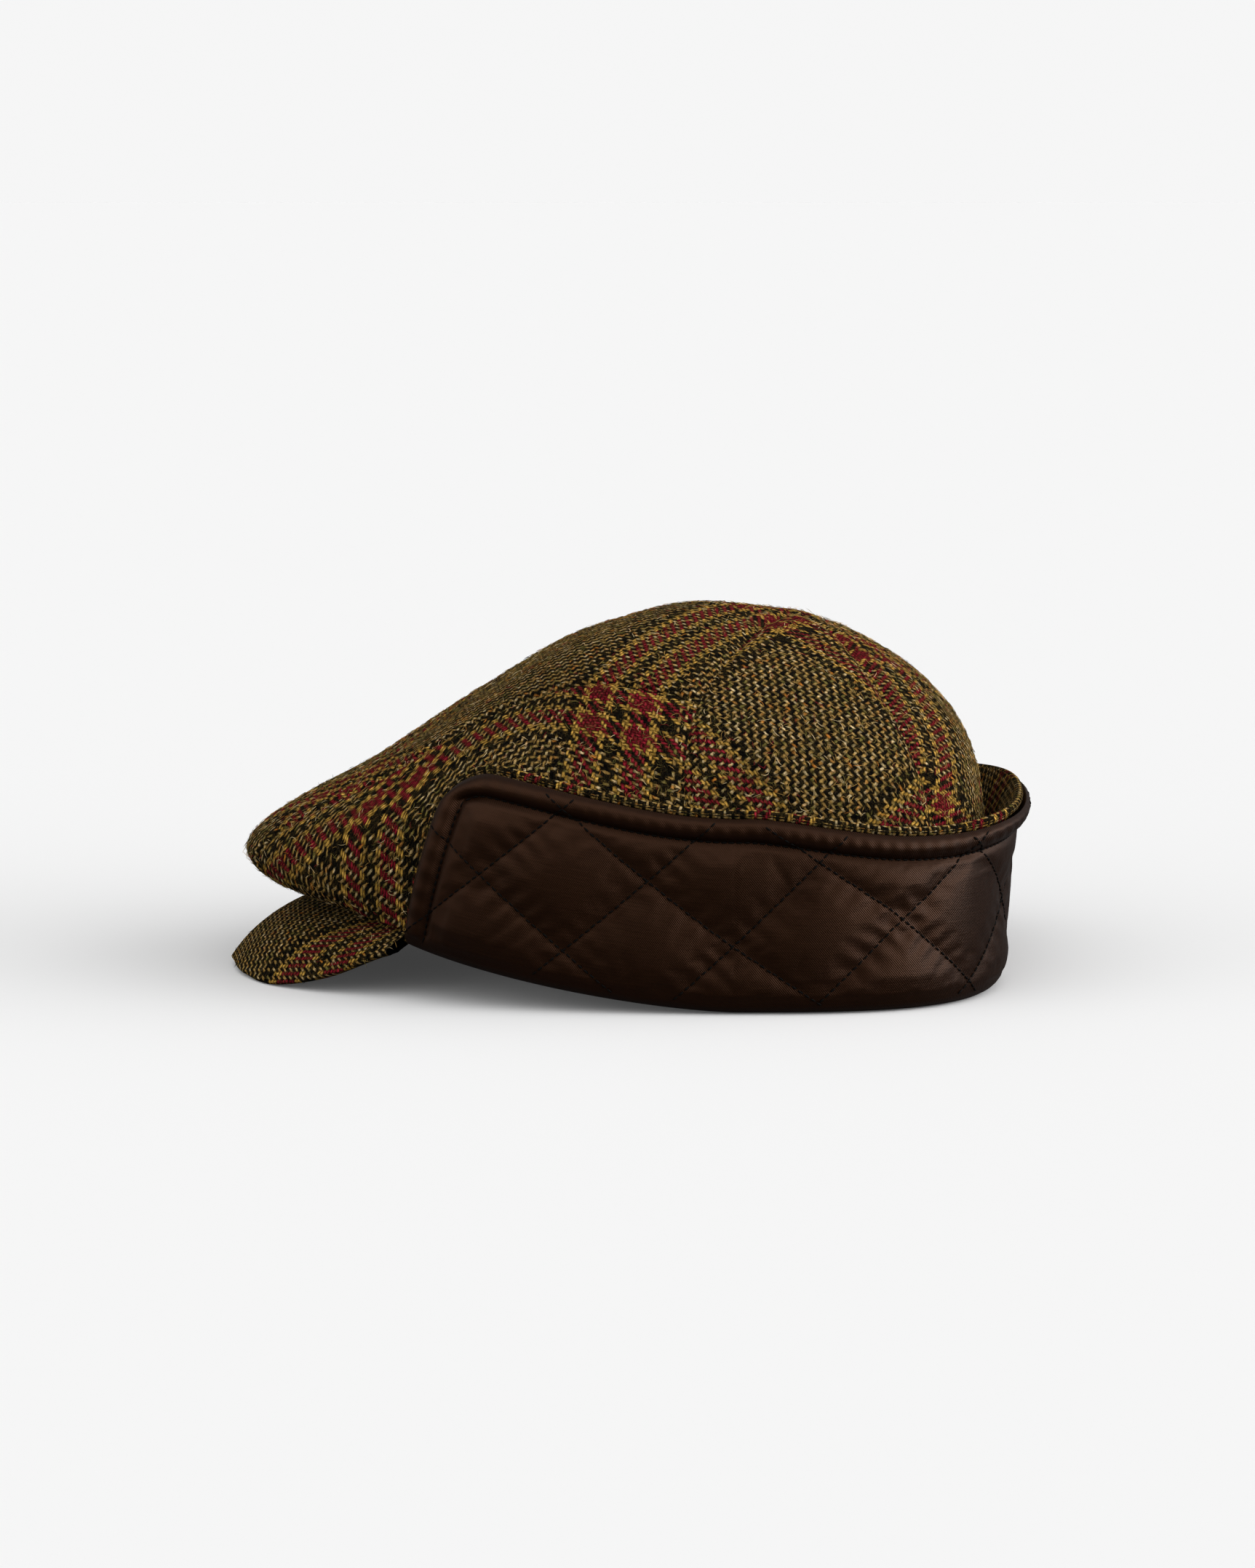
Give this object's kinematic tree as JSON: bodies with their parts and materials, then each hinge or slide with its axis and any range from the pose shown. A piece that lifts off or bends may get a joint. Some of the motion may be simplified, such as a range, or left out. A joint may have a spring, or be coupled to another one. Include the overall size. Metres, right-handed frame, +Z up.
{
  "type": "driving cap",
  "caption": "Flat tweed driving cap with a stiffened peak, a panelled crown and a quilted satin ear flap turned up round its sides and back.",
  "frame": {"origin": "on the surface the cap rests on, under the middle of its overall box", "axes": "+X from the peak to the back of the cap, +Y to the wearer's right, +Z up"},
  "size_m": [0.2734, 0.184, 0.1249],
  "materials": {
    "tweed": "hairy wool tweed, ochre and black with burgundy overcheck",
    "satin": "dark brown satin, diamond quilted"
  },
  "bodies": {
    "root": {"crown_front": "tweed", "crown_side_left": "tweed", "crown_side_right": "tweed", "crown_quarter_left": "tweed", "crown_quarter_right": "tweed", "crown_back": "tweed", "peak": "tweed", "flap_shell": "tweed", "flap_lining": "satin"}
  },
  "joints": []
}
